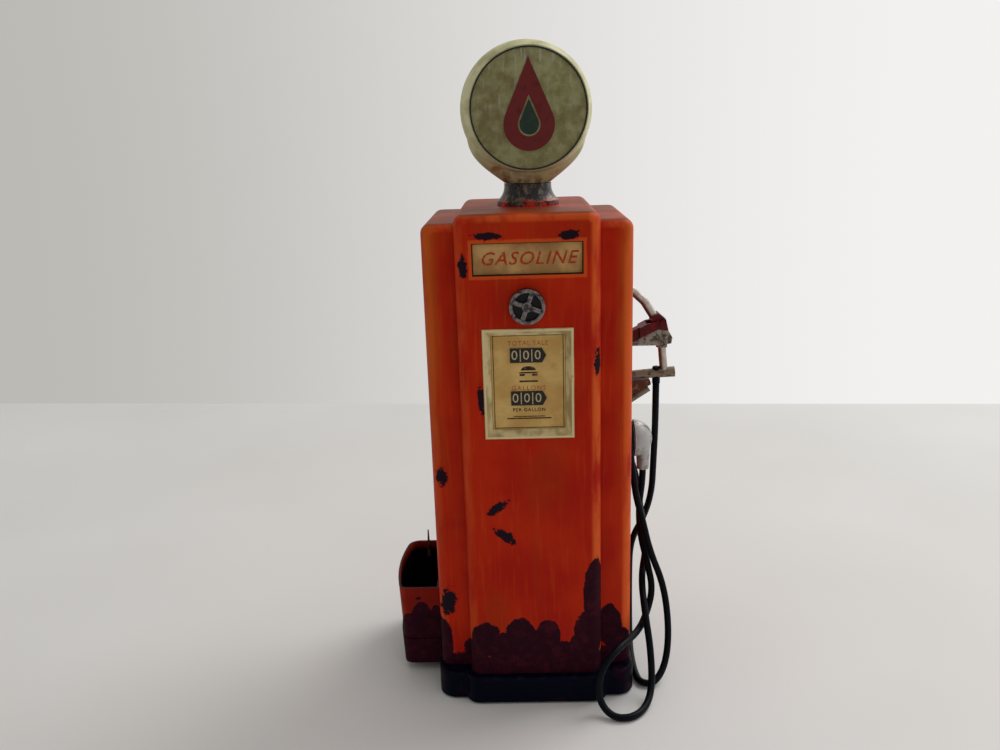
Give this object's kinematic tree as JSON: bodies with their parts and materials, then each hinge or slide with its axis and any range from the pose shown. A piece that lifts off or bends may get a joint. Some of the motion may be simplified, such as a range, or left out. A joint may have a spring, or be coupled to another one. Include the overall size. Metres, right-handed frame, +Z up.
{
  "type": "fuel pump display miniature",
  "caption": "Tabletop miniature of a mid-century fuel pump with a round globe, a recessed sign and dial, a hanging nozzle on a looped hose and a side bucket.",
  "frame": {"origin": "centre of the cabinet on the surface that it stands on", "axes": "+Z up, +X to the right seen from the front, the front faces -Y"},
  "size_m": [0.1109, 0.0882, 0.24],
  "materials": {
    "cabinet_paint": "brushed orange-red paint with worn edges",
    "plinth_paint": "dull black paint",
    "rust_paint": "matte dark rust-brown paint",
    "dial_paint": "aged cream paint",
    "printed_card": "yellowed printed card",
    "plaque_black": "matte black print",
    "globe_cream": "aged cream, satin",
    "lens_print": "aged pale green-grey, satin",
    "emblem_red": "faded dark red",
    "cast_grey": "tarnished grey casting",
    "bright_casting": "satin grey casting",
    "spout_metal": "tarnished silver",
    "knob_silver": "tarnished silver with a dark recess",
    "lever_red": "dark red paint",
    "hose_black": "satin black",
    "brass": "dull brass",
    "steel": "plain steel",
    "felt": "dark felt"
  },
  "bodies": {
    "cabinet": {"base_felt": "felt", "plinth": "plinth_paint", "bottom_plate": "plinth_paint", "bottom_screws": "steel", "cabinet_screws": "steel", "tower_shell": "cabinet_paint", "left_wing_shell": "cabinet_paint", "right_wing_shell": "cabinet_paint", "wing_screws": "steel", "rear_cover": "cabinet_paint", "rear_cover_screws": "steel", "sign_card": "printed_card", "sign_back_plate": "steel", "dial_frame": "dial_paint", "dial_card": "printed_card", "dial_back_plate": "steel", "number_plaques": "plaque_black", "globe_collar": "cast_grey", "collar_set_screw": "steel", "collar_washer": "steel", "collar_nut": "steel", "spout_socket": "cast_grey", "hook_plate": "cast_grey", "hook_screws": "steel", "nozzle_rest": "rust_paint", "rest_strut": "cast_grey", "outlet_elbow": "bright_casting", "elbow_nut": "steel", "hose": "hose_black", "bucket_studs": "steel"},
    "globe": {"globe_ring": "globe_cream", "front_lens": "lens_print", "rear_lens": "lens_print", "front_bead": "plaque_black", "rear_bead": "plaque_black", "front_emblem": "emblem_red", "rear_emblem": "emblem_red"},
    "knob": {"knob": "knob_silver", "knob_spindle": "steel", "knob_nut": "steel"},
    "nozzle": {"nozzle_spout": "spout_metal", "valve_block": "lever_red", "nozzle_body": "cast_grey", "lever_pin": "steel", "nozzle_crossbar": "cast_grey", "nozzle_stem": "spout_metal", "stem_collar": "cast_grey", "hose_ferrule": "hose_black"},
    "lever": {"nozzle_lever": "lever_red"},
    "bucket": {"bucket_shell": "cabinet_paint", "bucket_band": "rust_paint", "bucket_pin": "brass"}
  },
  "joints": [
    {"name": "globe_turn", "type": "hinge", "parent": "cabinet", "child": "globe", "pos_m": [0.001, 0, 0.2165], "axis": [0, 0, 1], "continuous": true},
    {"name": "knob_turn", "type": "hinge", "parent": "cabinet", "child": "knob", "pos_m": [-0.0005, -0.0355, 0.1525], "axis": [0, -1, 0], "continuous": true},
    {"name": "nozzle_pull", "type": "slide", "parent": "cabinet", "child": "nozzle", "axis": [1, 0, 0], "range_m": [0, 0.012]},
    {"name": "lever_swing", "type": "hinge", "parent": "nozzle", "child": "lever", "pos_m": [0.0498, -0.002, 0.1382], "axis": [0, 1, 0], "range_deg": [0, 18]},
    {"name": "bucket_lift", "type": "slide", "parent": "cabinet", "child": "bucket", "axis": [0, 0, 1], "range_m": [0, 0.005]}
  ]
}
